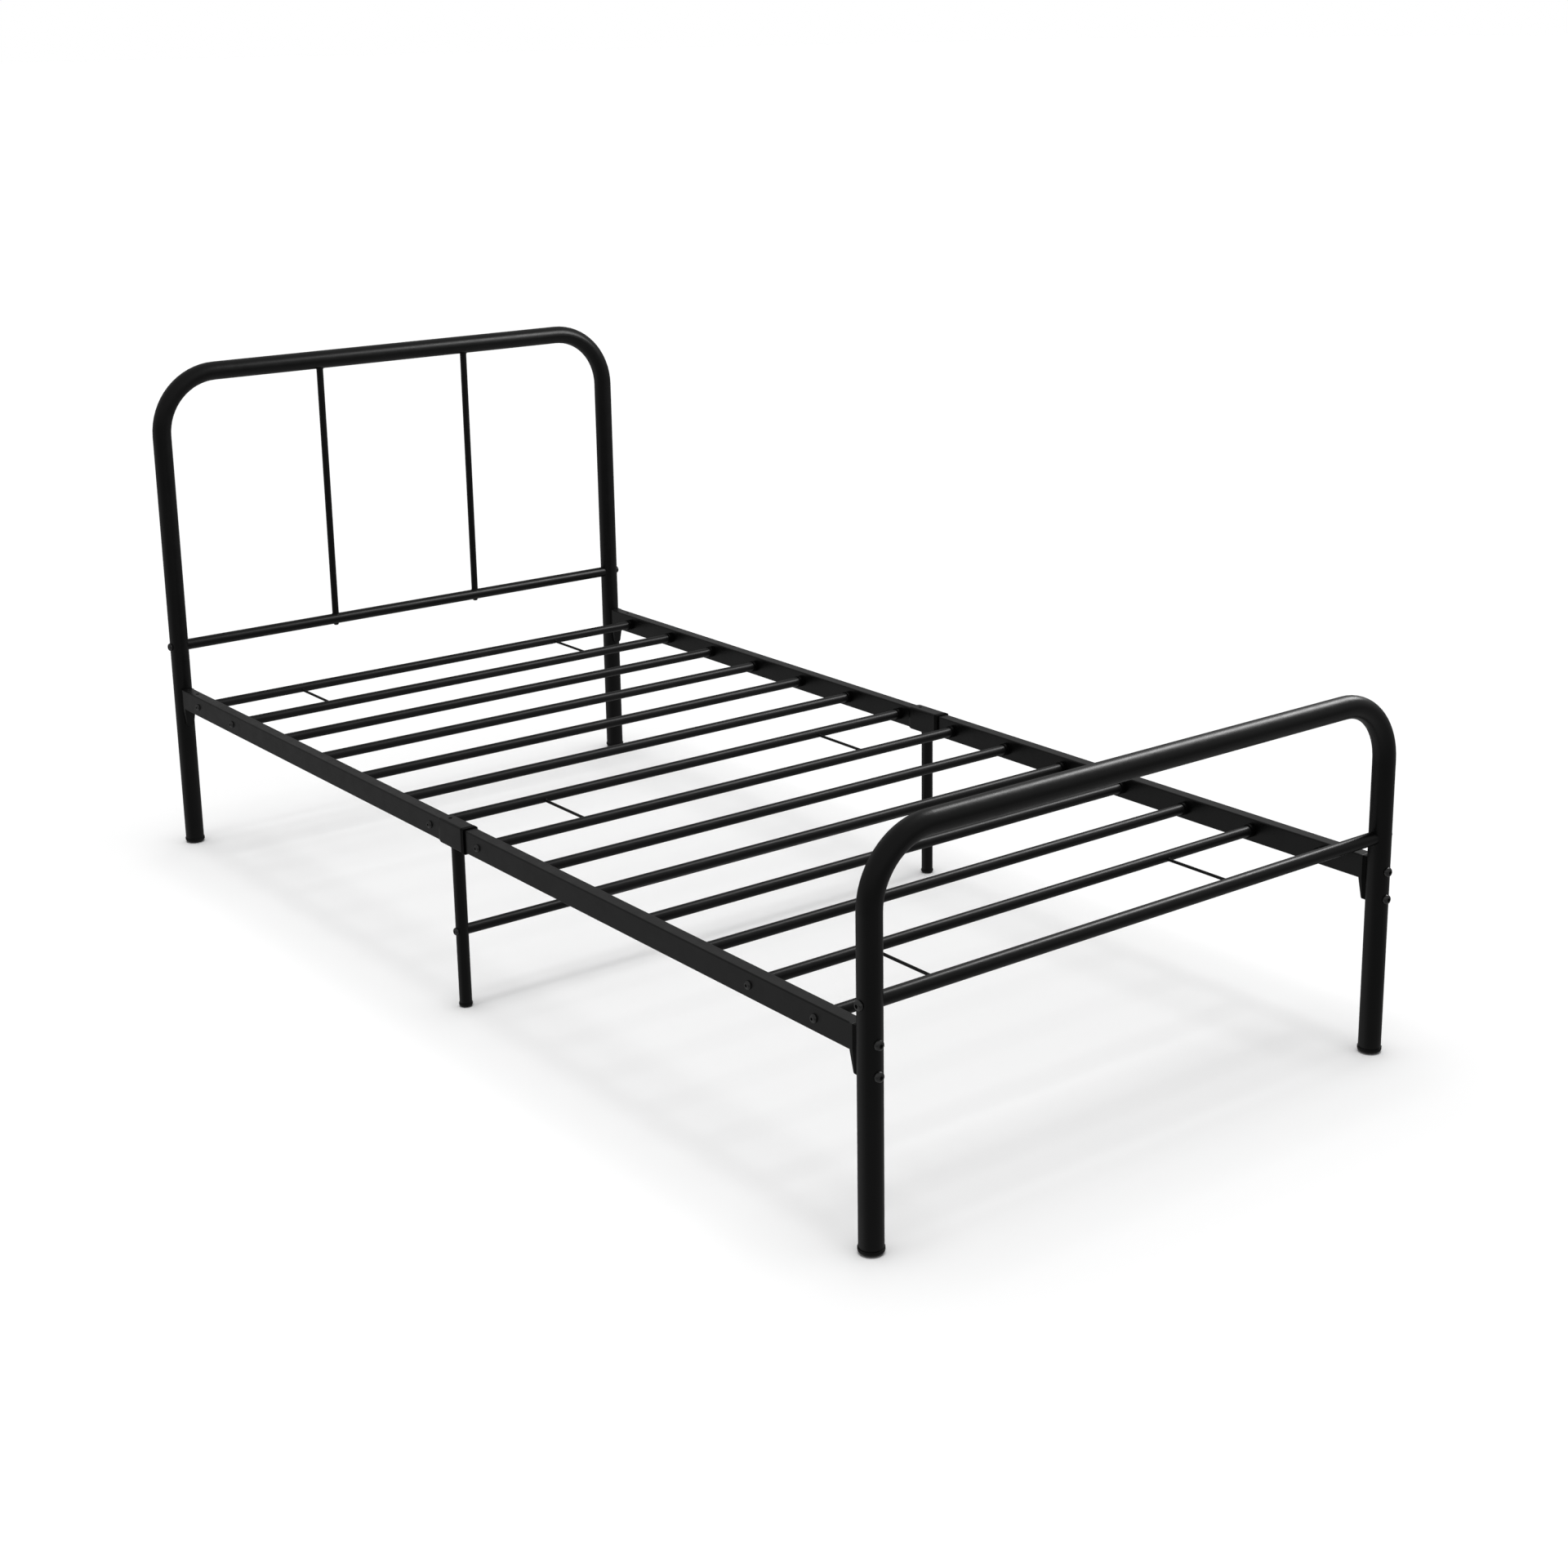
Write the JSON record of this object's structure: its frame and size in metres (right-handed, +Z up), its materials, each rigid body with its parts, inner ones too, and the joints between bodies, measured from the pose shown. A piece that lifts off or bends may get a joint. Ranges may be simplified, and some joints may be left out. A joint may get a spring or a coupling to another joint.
{
  "type": "single metal bed frame",
  "caption": "Single bed frame in black steel tube: hooped headboard with two spindles, low hooped footboard, two-part side rails, centre legs and round slats.",
  "frame": {"origin": "on the floor, under the middle of the frame", "axes": "+X from the headboard to the footboard, +Y to the right seen from the foot, +Z up"},
  "size_m": [1.9728, 0.9528, 0.862],
  "materials": {
    "frame_coating": "satin black powder coat",
    "slat_coating": "satin black powder coat",
    "black_fasteners": "black oxide and wax",
    "zinc_nuts": "zinc plate",
    "black_plastic_caps": "moulded matt polyethylene",
    "black_plastic_bushes": "moulded matt nylon"
  },
  "bodies": {
    "root": {"bracket_pads": "black_plastic_bushes", "centre_bolts": "black_fasteners", "centre_crossbar": "frame_coating", "centre_inserts": "zinc_nuts", "centre_leg_cap_left": "black_plastic_caps", "centre_leg_cap_right": "black_plastic_caps", "centre_leg_left": "frame_coating", "centre_leg_right": "frame_coating", "centre_sleeve_left": "frame_coating", "centre_sleeve_right": "frame_coating", "centre_sleeve_trim_left": "black_plastic_bushes", "centre_sleeve_trim_right": "black_plastic_bushes", "crossbar_bolts": "black_fasteners", "crossbar_inserts": "zinc_nuts", "footboard_crossbar": "frame_coating", "footboard_hoop": "frame_coating", "headboard_crossbar": "frame_coating", "headboard_hoop": "frame_coating", "post_cap_foot_left": "black_plastic_caps", "post_cap_foot_right": "black_plastic_caps", "post_cap_head_left": "black_plastic_caps", "post_cap_head_right": "black_plastic_caps", "rail_bolts_lower": "black_fasteners", "rail_bolts_upper": "black_fasteners", "rail_bracket_foot_left": "frame_coating", "rail_bracket_foot_right": "frame_coating", "rail_bracket_head_left": "frame_coating", "rail_bracket_head_right": "frame_coating", "rail_nuts": "zinc_nuts", "side_rail_foot_left": "frame_coating", "side_rail_foot_right": "frame_coating", "side_rail_head_left": "frame_coating", "side_rail_head_right": "frame_coating", "slat_01": "slat_coating", "slat_02": "slat_coating", "slat_03": "slat_coating", "slat_04": "slat_coating", "slat_05": "slat_coating", "slat_06": "slat_coating", "slat_07": "slat_coating", "slat_08": "slat_coating", "slat_09": "slat_coating", "slat_10": "slat_coating", "slat_11": "slat_coating", "slat_12": "slat_coating", "slat_13": "slat_coating", "slat_14": "slat_coating", "slat_bolts": "black_fasteners", "slat_bushes": "black_plastic_bushes", "slat_inserts": "zinc_nuts", "spindle_left": "frame_coating", "spindle_right": "frame_coating", "spindle_screws": "black_fasteners", "tie_wire_centre_left": "slat_coating", "tie_wire_centre_right": "slat_coating", "tie_wire_foot_left": "slat_coating", "tie_wire_foot_right": "slat_coating", "tie_wire_head_left": "slat_coating", "tie_wire_head_right": "slat_coating"}
  },
  "joints": []
}
